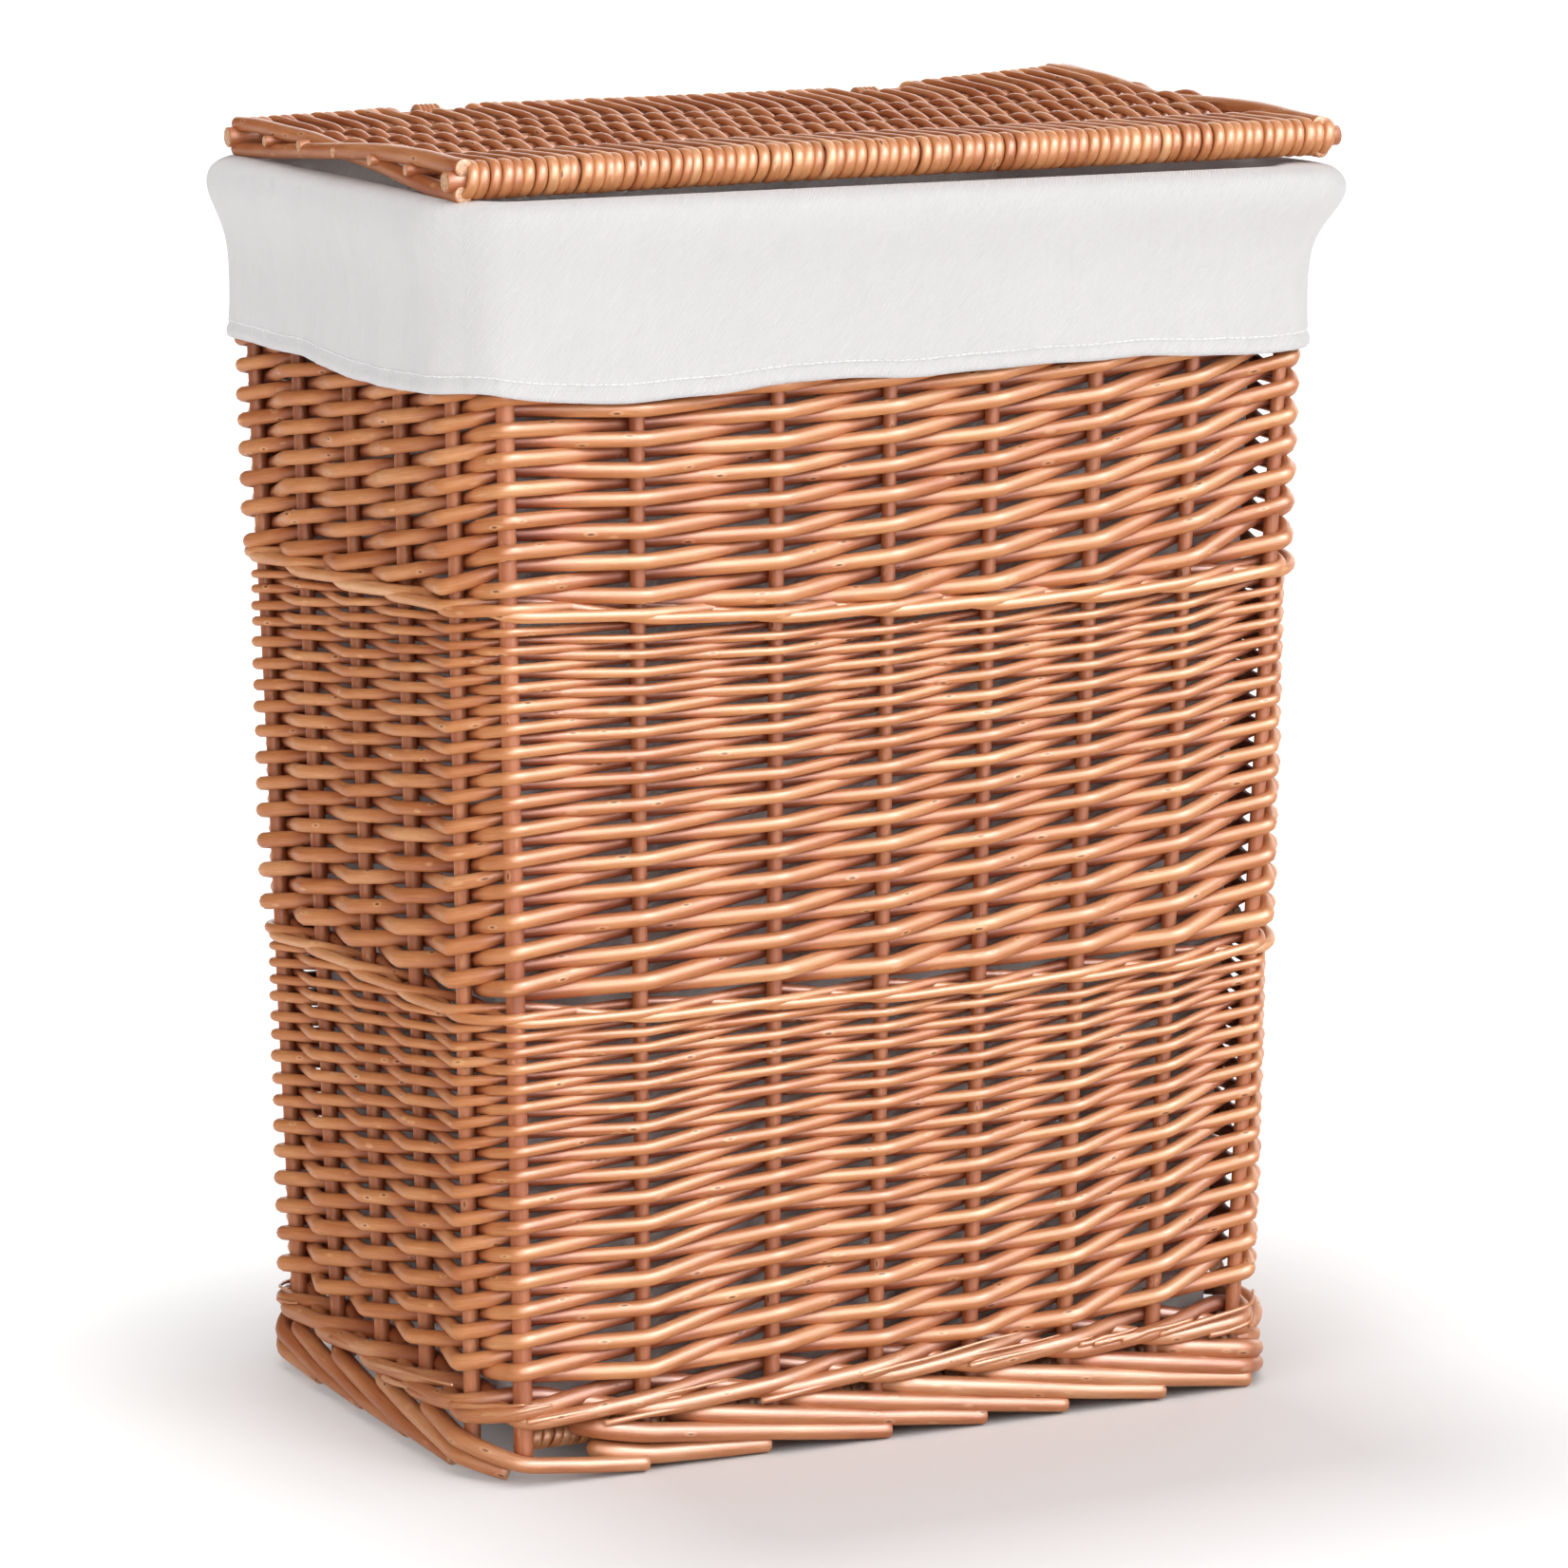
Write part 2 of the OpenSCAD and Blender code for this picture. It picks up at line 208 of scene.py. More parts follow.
class Rods:
    """Collects round rods and makes one mesh of them.

    Four values go with each point for the material: grain, the place in the wood; tone, how light
    the rod is; cut, 1 on a cut end; and a share of painted shade, how far the rod is hidden behind
    others, which makes it darker and redder.
    """

    def __init__(self, sides=10):
        self.sides = sides
        self.verts, self.faces = [], []
        self.grain, self.tone, self.cut, self.deep = [], [], [], []
        self.count = 0

    def ring(self, centre, n, b, wide, tall, along, shift, tone, cut, deep):
        turn = np.linspace(0, 2 * np.pi, self.sides, endpoint=False)
        c, s = np.cos(turn), np.sin(turn)
        self.verts.append(centre + np.outer(c * wide, n) + np.outer(s * tall, b))
        self.grain.append(np.column_stack([np.full(self.sides, along), c * wide, s * tall]) + shift)
        for store, value in ((self.tone, tone), (self.cut, cut), (self.deep, deep)):
            store.append(np.full(self.sides, value))

    def add(self, path, radius, tone=None, ref=UP, flat=1.0, ends=("cut", "cut"), deep=0.0):
        """One rod along a path. flat is its height over its width, seen along ref."""
        path = np.asarray(path, float)
        count = len(path)
        values = (np.asarray(v, float) for v in (radius, deep, flat))
        radius, deep, flat = (np.broadcast_to(v, count) for v in values)
        tangent, n, b = cross_axes(path, ref)
        along = lengths_along(path)
        shift = np.array([rng.uniform(0, 9000), rng.uniform(-60, 60), rng.uniform(-60, 60)])
        tone = rng.uniform(0, 1) if tone is None else tone
        tones = np.clip(tone + drift(count, 0.05, 0.06), 0, 1)
        rings = [(path[i], i, 1.0, 0.0, 0.0) for i in range(count)]
        head = self.end_rings(path[0], 0, -tangent[0], radius[0], ends[0])
        tail = self.end_rings(path[-1], count - 1, tangent[-1], radius[-1], ends[1])
        start = self.count
        for centre, i, scale, cut, off in head[::-1] + rings + tail:
            self.ring(centre, n[i], b[i], radius[i] * scale, radius[i] * scale * flat[i],
                      along[i] + off, shift, tones[i], cut, deep[i])
        self.stitch(start, len(head) + count + len(tail))

    def end_rings(self, centre, i, outward, radius, style):
        """The rings that close an end: round like a bud, or cut off with a small worn edge."""
        if style == "round":
            steps = [(0.45, 0.88), (0.80, 0.58), (0.97, 0.20), (1.0, 0.02)]
            return [(centre + outward * radius * f, i, s, 0.0, f) for f, s in steps]
        steps = [(0.05, 0.93, 0.35), (0.09, 0.80, 1.0), (0.06, 0.35, 1.0), (0.04, 0.02, 1.0)]
        return [(centre + outward * radius * f, i, s, c, f) for f, s, c in steps]

    def stitch(self, start, rings):
        """Faces between the rings of one rod, and a lid on each end."""
        m = self.sides
        base = start + np.arange(rings - 1)[:, None] * m
        j = np.arange(m)[None, :]
        k = (j + 1) % m
        quads = np.stack([base + j, base + k, base + m + k, base + m + j], -1).reshape(-1, 4)
        self.faces.extend(quads.tolist())
        self.faces.append(list(range(start + m - 1, start - 1, -1)))
        last = start + (rings - 1) * m
        self.faces.append(list(range(last, last + m)))
        self.count = start + rings * m

    def piece(self, name, material, body="basket", slot="willow_weave", nodes=()):
        verts = np.concatenate(self.verts)
        obj = make_mesh(name + "_willow", verts, self.faces, material)
        point_values(obj, "grain", np.concatenate(self.grain))
        for key, store in (("tone", self.tone), ("cut", self.cut), ("deep", self.deep)):
            point_values(obj, key, np.concatenate(store))
        settle(obj, body, nodes)


def make_mesh(name, verts_mm, faces, material):
    mesh = bpy.data.meshes.new(name)
    mesh.from_pydata((np.asarray(verts_mm) * MM).tolist(), [], faces)
    mesh.polygons.foreach_set("use_smooth", [True] * len(mesh.polygons))
    mesh.materials.append(material)
    mesh.update()
    obj = bpy.data.objects.new(name, mesh)
    bpy.context.scene.collection.objects.link(obj)
    return obj


def point_values(obj, name, values):
    values = np.asarray(values, np.float32)
    kind = "FLOAT_VECTOR" if values.ndim == 2 else "FLOAT"
    attribute = obj.data.attributes.new(name, kind, "POINT")
    attribute.data.foreach_set("vector" if values.ndim == 2 else "value", values.ravel())


def settle(obj, body, nodes):
    """Puts a piece on the body that it rides on, and hides the CAD nodes that it stands for."""
    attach(obj, body)
    if nodes:
        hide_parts(*nodes)
    return obj


# ---------------------------------------------------------------- materials


class Nodes:
    """Short names for building a node material."""

    def __init__(self, name):
        self.material = bpy.data.materials.new(name)
        self.material.use_nodes = True
        self.tree = self.material.node_tree
        self.shader = self.tree.nodes["Principled BSDF"]

    def new(self, kind, inputs=None, **settings):
        node = self.tree.nodes.new(kind)
        for key, value in settings.items():
            setattr(node, key, value)
        for key, value in (inputs or {}).items():
            self.put(node.inputs[key], value)
        return node

    def put(self, socket, value):
        if isinstance(value, bpy.types.NodeSocket):
            self.tree.links.new(value, socket)
        else:
            socket.default_value = value

    def attribute(self, name, output="Fac"):
        return self.new("ShaderNodeAttribute", attribute_name=name).outputs[output]

    def stretch(self, vector, scale):
        return self.new("ShaderNodeMapping", {"Vector": vector, "Scale": scale}).outputs[0]

    def noise(self, vector, scale, detail=4.0, rough=0.55):
        inputs = {"Vector": vector, "Scale": scale, "Detail": detail, "Roughness": rough}
        return self.new("ShaderNodeTexNoise", inputs).outputs["Fac"]

    def math(self, operation, a, b=0.0):
        return self.new("ShaderNodeMath", {0: a, 1: b}, operation=operation).outputs[0]

    def vector(self, operation, a, b=(0.0, 0.0, 0.0), output="Vector"):
        return self.new("ShaderNodeVectorMath", {0: a, 1: b}, operation=operation).outputs[output]

    def ranged(self, value, low, high, to_low=0.0, to_high=1.0):
        inputs = {"Value": value, "From Min": low, "From Max": high}
        inputs.update({"To Min": to_low, "To Max": to_high})
        return self.new("ShaderNodeMapRange", inputs).outputs[0]

    def ramp(self, value, stops):
        node = self.new("ShaderNodeValToRGB", {"Fac": value})
        ramp = node.color_ramp
        while len(ramp.elements) < len(stops):
            ramp.elements.new(0.5)
        for element, (place_at, colour) in zip(ramp.elements, stops):
            element.position = place_at
            element.color = (*colour, 1)
        return node.outputs["Color"]

    def mix(self, share, a, b, blend="MIX"):
        node = self.new("ShaderNodeMix", data_type="RGBA", blend_type=blend)
        self.put(node.inputs["Factor"], share)
        for key, value in (("A", a), ("B", b)):
            socket = [s for s in node.inputs if s.name == key and s.type == "RGBA"][0]
            self.put(socket, (*value, 1) if isinstance(value, tuple) else value)
        return [s for s in node.outputs if s.type == "RGBA"][0]

    def bump(self, height, strength, distance, normal=None):
        inputs = {"Height": height, "Strength": strength, "Distance": distance}
        if normal is not None:
            inputs["Normal"] = normal
        return self.new("ShaderNodeBump", inputs).outputs[0]


def linear(r, g, b):
    """Colour given as on a screen, 0 to 255, turned into shader values."""
    return tuple(((c / 255 + 0.055) / 1.055) ** 2.4 if c > 10 else c / 3295 for c in (r, g, b))


PAINTED_SHADE_RED = linear(168, 72, 34)  # painted shade: the colour is multiplied with this red where a rod is hidden behind others
BUD_BROWN = linear(92, 44, 24)
PITH = (linear(150, 96, 62), linear(222, 178, 136))


def bud_marks(m, grain):
    """Where the buds were: a small dark eye, and a pale ring round it."""
    where = m.stretch(grain, (0.055, 0.15, 0.15))
    spots = m.new("ShaderNodeTexVoronoi", {"Vector": where, "Scale": 1.0})
    near = spots.outputs["Distance"]
    eye = m.ranged(near, 0.065, 0.10, 1.0, 0.0)
    ring = m.math("MULTIPLY", m.ranged(near, 0.14, 0.21, 1.0, 0.0), m.ranged(near, 0.065, 0.10))
    return eye, ring


def willow_material(name, colours, rough=0.46):
    """Peeled, boiled willow under a satin varnish."""
    m = Nodes(name)
    grain = m.attribute("grain", "Vector")
    streak = m.noise(m.stretch(grain, (0.05, 1.6, 1.6)), 1.0, 5.0, 0.62)
    fine = m.noise(m.stretch(grain, (0.16, 5.0, 5.0)), 1.0, 3.0, 0.6)
    blotch = m.noise(m.stretch(grain, (0.022, 0.12, 0.12)), 1.0, 3.0, 0.55)
    value = m.math("MULTIPLY", m.attribute("tone"), 0.30)
    value = m.math("ADD", value, m.math("MULTIPLY", streak, 0.42))
    value = m.math("ADD", value, m.math("MULTIPLY", blotch, 0.60))
    value = m.math("SUBTRACT", value, 0.16)
    colour = m.ramp(value, list(zip((0.12, 0.36, 0.58, 0.82), colours)))
    colour = m.mix(m.ranged(fine, 0.53, 0.78, 0.0, 0.42), colour, colours[0])
    eye, ring = bud_marks(m, grain)
    colour = m.mix(m.math("MULTIPLY", ring, 0.5), colour, colours[3])
    colour = m.mix(m.math("MULTIPLY", eye, 0.75), colour, BUD_BROWN)
    # Painted shade: where a rod is hidden behind others its colour is multiplied towards a dark red
    colour = m.mix(m.math("MULTIPLY", m.attribute("deep"), 0.85), colour, PAINTED_SHADE_RED, "MULTIPLY")
    pith = m.ramp(m.noise(grain, 0.8, 3.0), [(0.3, PITH[0]), (0.7, PITH[1])])
    m.put(m.shader.inputs["Base Color"], m.mix(m.attribute("cut"), colour, pith))
    m.put(m.shader.inputs["Roughness"], m.ranged(streak, 0.3, 0.7, rough - 0.07, rough + 0.09))
    height = m.math("ADD", m.math("MULTIPLY", streak, 0.6), m.math("MULTIPLY", fine, 0.4))
    height = m.math("SUBTRACT", height, m.math("MULTIPLY", ring, 0.5))
    m.put(m.shader.inputs["Normal"], m.bump(height, 0.35, 0.0006))
    m.shader.inputs["Coat Weight"].default_value = 0.15
    m.shader.inputs["Coat Roughness"].default_value = 0.3
    m.shader.inputs["Specular IOR Level"].default_value = 0.26
    return m.material


def cotton_material(name, shade, twill_mm=1.15):
    """White cotton with a diagonal twill, thicker threads here and there, and soft creases."""
    m = Nodes(name)
    cloth = m.attribute("cloth", "Vector")
    turn = (0, 0, math.radians(38))
    turned = m.new("ShaderNodeMapping", {"Vector": cloth, "Rotation": turn}).outputs[0]
    across = m.new("ShaderNodeSeparateXYZ", {"Vector": turned}).outputs[0]
    waver = m.math("MULTIPLY", m.noise(cloth, 0.35, 3.0), 2.2)
    phase = m.math("ADD", m.math("MULTIPLY", across, 2 * math.pi / twill_mm), waver)
    line = m.math("SINE", phase)
    thread = m.noise(m.stretch(turned, (0.5, 3.2, 1.0)), 1.0, 3.0, 0.6)
    height = m.math("ADD", m.math("MULTIPLY", line, 0.5), m.math("MULTIPLY", thread, 0.8))
    crease = m.noise(m.stretch(turned, (0.035, 0.014, 1.0)), 1.0, 3.0, 0.45)
    crumple = m.noise(m.stretch(cloth, (0.06, 0.022, 1.0)), 1.0, 3.0, 0.5)
    soft = m.bump(m.math("ADD", crease, crumple), 0.36, 0.006)
    slub = m.noise(m.stretch(cloth, (0.05, 0.9, 1.0)), 1.0, 3.0)
    light = tuple(min(1.0, c * 1.03) for c in shade)
    dark = tuple(c * 0.90 for c in shade)
    colour = m.mix(m.ranged(m.noise(cloth, 0.018, 4.0), 0.35, 0.7), light, shade)
    colour = m.mix(m.ranged(line, -0.2, -1.0, 0.0, 0.45), colour, dark)
    colour = m.mix(m.ranged(slub, 0.58, 0.8, 0.0, 0.25), colour, dark)
    m.put(m.shader.inputs["Base Color"], colour)
    m.put(m.shader.inputs["Roughness"], m.ranged(thread, 0.3, 0.7, 0.82, 0.95))
    m.put(m.shader.inputs["Normal"], m.bump(height, 0.55, 0.0003, soft))
    m.shader.inputs["Sheen Weight"].default_value = 0.25
    m.shader.inputs["Sheen Roughness"].default_value = 0.5
    m.shader.inputs["Specular IOR Level"].default_value = 0.0
    return m.material


# Painted shade: the floor is greyest in a block round the foot of the basket, where it does not
# glow
PAINTED_SHADE_CENTRE = (0.03, -0.09, 0.0)
PAINTED_SHADE_HALF = (0.13, 0.14, 0.01)


def floor_material():
    """A pale floor with painted light and painted shade: it glows away from the basket, which
    lightens the shadows there, and is greyer round the basket's foot.
    """
    m = Nodes("floor_glow_and_painted_shade")
    away = m.vector("SUBTRACT", m.new("ShaderNodeTexCoord").outputs["Object"], PAINTED_SHADE_CENTRE)
    away = m.vector("SUBTRACT", m.vector("ABSOLUTE", away), PAINTED_SHADE_HALF)
    away = m.vector("LENGTH", m.vector("MAXIMUM", away), output="Value")
    far = m.ranged(away, 0.02, 0.25)
    # Painted shade round the basket's foot, and a painted glow away from it that lightens the
    # shadows
    m.put(m.shader.inputs["Base Color"], m.mix(far, (0.68, 0.685, 0.70), (0.56, 0.56, 0.565)))
    m.shader.inputs["Emission Color"].default_value = (1.0, 1.0, 1.0, 1)
    m.put(m.shader.inputs["Emission Strength"], m.math("MULTIPLY", far, 0.60))
    m.shader.inputs["Roughness"].default_value = 0.75
    m.shader.inputs["Specular IOR Level"].default_value = 0.05
    return m.material


def shades(*colours):
    """The willow's shades, from the darkest to the lightest."""
    return [linear(*colour) for colour in colours]


WEAVE_SHADES = shades((120, 49, 23), (174, 102, 55), (198, 132, 81), (222, 171, 124))
STICK_SHADES = shades((112, 46, 20), (164, 91, 47), (189, 119, 71), (212, 157, 112))
BORDER_SHADES = shades((116, 46, 21), (159, 88, 47), (180, 116, 72), (202, 151, 110))
WILLOW_WEAVE = willow_material("willow_weave", WEAVE_SHADES)
WILLOW_STICK = willow_material("willow_stick", STICK_SHADES)
WILLOW_BORDER = willow_material("willow_border", BORDER_SHADES, rough=0.44)
COTTON = cotton_material("liner_cotton", linear(211, 209, 210))
THREAD = cotton_material("liner_thread", linear(246, 246, 248), twill_mm=0.5)


# ---------------------------------------------------------------- basket body


def make_stakes():
    """The stakes, a little bowed, with the one at the near corner thicker."""
    for number, name in enumerate(NAMES):
        foot, head = FEET[number], HEADS[number]
        count = 72
        share = np.linspace(0, 1, count)[:, None]
        path = foot + (head - foot) * share
        bow = drift(count, 0.08, 0.45)
        path[:, :2] += NORMALS[number] * 0.3 * bow[:, None]
        size = 4.4 if number == 0 else rng.uniform(3.5, 3.9)
        radius = size + drift(count, 0.12, 0.1) - 0.4 * share[:, 0]
        rods = Rods(14)
        # Painted shade: every stake gets an even share of the darker, redder painted shade
        rods.add(path, radius, ref=(1, 0, 0), tone=rng.uniform(0.2, 0.7), deep=0.25)
        rods.piece(name, WILLOW_STICK, slot="willow_stick", nodes=[name])


# How far the rows lie above an even height, in mm, at each front stake and at five levels
SAG_LEVELS = (50.0, 110.0, 215.0, 380.0, 395.0)
FRONT_SAG = (
    (2, -3, 0, -4, -6, -5, 0, 5),
    (2, -3, 0, -4, -6, -5, 0, 5),
    (3, 0, -1, -3, -4, -4, -3, 1),
    (7, 1, -3, -4, -4.5, -4.5, -3, 0),
    (12, 4, 0, -1, -1.5, -0.5, 4, 9.5),
)


def sag_table():
    """The sag at all stakes: it fades out behind the front."""
    rows = []
    for front in FRONT_SAG:
        rest = np.interp(np.arange(8, STAKES), [7, 12, 20, STAKES], [front[-1], 2.0, 0.0, front[0]])
        rows.append(np.append(front, rest + rng.normal(0, 0.7, len(rest))))
    return np.array(rows)


SAG = sag_table()


def sag(number, z):
    """How far a row at height z lies above an even height, at a stake."""
    return np.interp(z, SAG_LEVELS, SAG[:, int(number) % STAKES])


def round_heights(low, high, rounds, thick, thin):
    """Height of each round: the rounds draw closer as the rods get thinner."""
    pitch = np.linspace(thick, thin, rounds - 1)
    return low + np.append(0, np.cumsum(pitch * (high - low) / pitch.sum()))


def randing_keys(first, heights, thickness):
    """Where a rod goes that passes in front of every second stake and behind the others."""
    rounds = len(heights)
    climb = np.append(np.diff(heights), heights[-1] - heights[-2])
    butt = heights[0] + sag(first - 1, heights[0]) - 5.0
    keys = [(first - 1.0, butt, -STAKE_R - thickness[0] - 1.0)]
    for k in range(2 * rounds):
        turn, behind = k // 2, k % 2
        z = heights[turn] + behind * 0.52 * climb[turn]
        reach = STAKE_R - 0.3 + thickness[k]
        z = z + sag(first + k, z) + rng.normal(0, 0.35)
        keys.append((first + k, z, -reach if behind else reach))
    tail = rng.uniform(0.25, 0.8)
    keys.append((keys[-1][0] + tail, keys[-1][1] + 1.0, keys[-1][2] + 1.5))
    return keys


# Weave bands: height of the first and the last round, how many rounds, and the rods' radius: at
# their butts, the one that the top rounds are spaced for, and at their tips
WEAVE_BANDS = {
    "lower_weave_band": (50.0, 200.5, 15, 3.85, 1.95, 1.95),
    "middle_weave_band": (222.0, 374.6, 15, 3.95, 1.9, 1.9),
    "upper_weave_band": (390.5, 541.0, 13, 3.75, 2.95, 1.8),
}


def weave_band(name, low, high, rounds, thick, thin, tip):
    """French randing: a rod from each stake, that climb side by side."""
    heights = round_heights(low, high, rounds, thick, thin)
    rods = Rods(10)
    shares, radii = [0, 0.55, 1], [thick, thick + (thin - thick) * 0.55, tip]
    for first in range(STAKES):
        size = rng.uniform(0.95, 1.05)
        thickness = np.interp(np.linspace(0, 1, 2 * rounds + 1), shares, radii) * size
        path, number = trail(randing_keys(first, heights, thickness))
        n = len(path)
        radius = np.interp(number, np.arange(2 * rounds + 1), thickness) * (1 + drift(n, 0.1, 0.02))
        path[:, 2] += drift(n, 0.12, 0.2)
        # Painted shade: a rod is coloured darker and redder where it passes behind a stake
        side = np.cos(np.pi * (number - 1))
        deep = np.clip(0.22 - 0.6 * side, 0, 0.8)
        rods.add(path, radius, deep=deep, tone=rng.uniform(0.25, 0.75))
    rods.piece(name, WILLOW_WEAVE, nodes=[name])


WALE_START = 15  # stake where the walings begin, at the back


def waling(low, high, radius, sagging=True):
    """Three rods, each in front of two stakes and behind one, that climb as they cross."""
    rods = Rods(12)
    rise = (high - low - 2 * radius) / 2
    outs = (STAKE_R + radius, STAKE_R + radius + 0.7, -(STAKE_R + radius))
    for k in range(3):
        keys = []
        for stake in range(STAKES + 1):
            phase = stake % 3
            number = WALE_START + k + stake
            z = low + radius + phase * rise + rng.normal(0, 0.3)
            keys.append((number, z + (sag(number, low) if sagging else 0.0), outs[phase]))
        path, number = trail(keys, soft=7.0, bulge=3.5)
        n = len(path)
        path[:, 2] += drift(n, 0.12, 0.25)
        thick = radius * rng.uniform(0.92, 1.08) * (1 + drift(n, 0.1, 0.05))
        # Painted shade: a rod is coloured darker and redder where it passes behind a stake
        hidden = np.clip(np.cos((number - 2) * 2 * np.pi / 3), 0, 1)
        rods.add(path, thick, tone=rng.uniform(0.55, 0.95), deep=0.7 * hidden)
    return rods


def make_wales():
    """The three walings, of which the lowest holds the stakes upright."""
    waling(203.8, 214.4, 2.35).piece("lower_wale", WILLOW_WEAVE, nodes=["lower_wale"])
    waling(379.4, 390.6, 2.75).piece("upper_wale", WILLOW_WEAVE, nodes=["upper_wale"])
    rods = waling(24.0, 43.0, 3.9, sagging=False)
    add_split_ends(rods)
    rods.piece("upsett_wale", WILLOW_BORDER, slot="willow_border", nodes=["upsett_wale"])


def add_split_ends(rods):
    """Thin ends of the rods that lie along the first waling."""
    for number in range(STAKES):
        for _ in range(rng.integers(1, 3)):
            length = rng.uniform(0.6, 1.7)
            t = np.linspace(0, length, 16)
            start = number + rng.uniform(-0.6, 0.4)
            low = rng.uniform(25, 33)
            z = low + t * rng.uniform(3.5, 7.0) + drift(16, 0.2, 0.3)
            out = STAKE_R + rng.uniform(6.2, 8.0) - 1.6 * (t / length) ** 2
            radius = rng.uniform(1.0, 1.9) * (1 - 0.55 * t / length)
            path = smooth(place(start + t, np.minimum(z, 42.5), out), 2)
            rods.add(path, radius, tone=rng.uniform(0.55, 1.0))


# How far before their first stake the two border rods at the near corner begin, in steps; below
# 0 it is past that stake
LATE_STARTS = {0: -0.70, 1: 0.40}


def border_keys(m, gap):
    """A border rod comes out before stake m, passes two stakes, and ends cut at the third."""
    start = LATE_STARTS.get(m, min(0.75, rng.uniform(36, 43) / gap))
    lift = rng.normal(0, 0.4)
    first = m - start
    if start < 0:
        away = [(m + 1, 7.0, 6.4), (m + 1.95, 4.4, 7.0)]
        return [(first - 0.1, 11.0, 1.0), (first, 10.0, 5.5), *away]
    keys = [
        (first - 8 / gap, 22.0 + lift, -3.0), (first, 22.6 + lift, 6.0), (m, 17.6 + lift, 8.6),
        (m + 1, 10.4 + lift / 2, 9.4), (m + rng.uniform(1.97, 2.08), 3.9, 10.2),
    ]
    if 7 < m < 25:  # away from the front the ends are tucked in under the next rod
        keys[3:] = [(m + 1, 9.4 + lift / 2, 8.6), (m + 1.75, 4.2, 4.0)]
    return keys


def make_foot_border():
    """Thick rods laid aslant round the foot, one for each stake."""
    rods = Rods(14)
    for m in range(STAKES):
        gap = np.linalg.norm((FEET[m] - FEET[m - 1])[:2])
        path, number = trail(border_keys(m, gap), spacing=5.0, soft=3.5, bulge=2.5)
        radius = np.interp(number, [0, 2, 4], [4.5, 4.4, 3.7]) * rng.uniform(0.95, 1.05)
        path[:, 2] = np.maximum(path[:, 2] + drift(len(path), 0.1, 0.2), radius + 0.15)
        radius = radius * (1 + drift(len(path), 0.1, 0.03))
        rods.add(path, radius, ends=("round", "cut"), tone=rng.uniform(0.3, 0.9))
    rods.piece("foot_border", WILLOW_BORDER, slot="willow_border", nodes=["foot_border"])


# A rim border rod by steps from its stake: (steps, height) and (steps, out)
RIM_HEIGHTS = ([-0.3, 0, 1, 2, 3.0], [549.5, 550.0, 554.5, 557.8, 556.5])
RIM_OUTS = ([-0.3, 0, 0.5, 1, 1.5, 2, 2.5, 3.0], [-6.5, -7.5, 0, 7.4, 8.2, 7.0, -1.0, -6.8])


def make_rim_border():
    """The border under the cuff: a rod from each stake, laid along three steps."""
    rods = Rods(10)
    t = np.linspace(-0.3, 3.0, 44)
    radius = np.interp(t, [-0.3, 3.0], [3.4, 2.7])
    for m in range(STAKES):
        z, out = smooth(np.interp(t, *RIM_HEIGHTS), 5), smooth(np.interp(t, *RIM_OUTS), 5)
        rods.add(smooth(place(m + t, z, out), 3), radius, tone=rng.uniform(0.3, 0.9))
    rods.piece("rim_border", WILLOW_BORDER, slot="willow_border", nodes=["rim_border"])


# ---------------------------------------------------------------- woven panels: base and lid


# How a strand ends on the back rod's near side, in (y, height) steps from its last crossing
TUCK = np.array([[3, -1.2], [4.5, -3.6], [3.5, -6.2], [0.5, -7.4]])


class Panel:
    """A flat woven mat: rods and sticks along X, and flattened strands that wrap its edge rods.

    width is the room a strand takes at the edge rods, field_wide its half width between them.
    """

    def __init__(
        self, level, edge_y, edge_r, sticks, stick_r, strand, width, field_wide, lift=None
    ):
        self.level, self.edge_y, self.edge_r = level, edge_y, edge_r
        self.sticks, self.stick_r = sticks, stick_r
        self.strand, self.width, self.field_wide = strand, width, field_wide
        self.lift = lift or (lambda x, y: 0 * x)

    def raised(self, path):
        path[:, 2] += self.level + self.lift(path[:, 0], path[:, 1])
        return path

    def wrap(self, side, start, stop, count=15):
        """Points round an edge rod between two angles, seen from the left, 0 pointing outwards."""
        turn = np.radians(np.linspace(start, stop, count))
        reach = self.edge_r + self.strand
        return np.column_stack([side * (self.edge_y + reach * np.cos(turn)), reach * np.sin(turn)])

    def crossing(self, parity, short_back=False):
        """A strand's way from the front rod, over and under the sticks, to the back rod."""
        swing = self.stick_r + self.strand
        ys = np.array(self.sticks, float)
        signs = np.array([1.0 if (i + parity) % 2 == 0 else -1.0 for i in range(len(ys))])
        y = np.linspace(-self.edge_y + 6, self.edge_y - (16 if short_back else 6), 54)
        top = self.edge_r + self.strand
        knots_y = np.concatenate([[-self.edge_y], ys, [self.edge_y]])
        knots_z = np.concatenate([[top], signs * swing, [top]])
        i = np.clip(np.searchsorted(knots_y, y) - 1, 0, len(knots_y) - 2)
        t = (y - knots_y[i]) / (knots_y[i + 1] - knots_y[i])
        return np.column_stack([y, knots_z[i] + (knots_z[i + 1] - knots_z[i]) * ease(t, 0.8)])

    def strand_path(self, x, parity, lean, short_back):
        """A whole strand, that leans over by lean mm while it wraps the front rod."""
        front = self.wrap(-1, -125, 92)
        middle = self.crossing(parity, short_back)
        back = middle[-1] + TUCK if short_back else self.wrap(1, 92, -125)
        flat = np.concatenate([front, middle, back])
        share = np.linspace(-0.5, 0.5, len(flat))
        rest = np.full(len(middle) + len(back), 0.5)
        turn = np.concatenate([np.linspace(-0.5, 0.5, len(front)), rest])
        xs = x + lean * turn + 2.0 * share + drift(len(flat), 0.08, 0.3)
        return self.raised(smooth(np.column_stack([xs, flat]), 2))


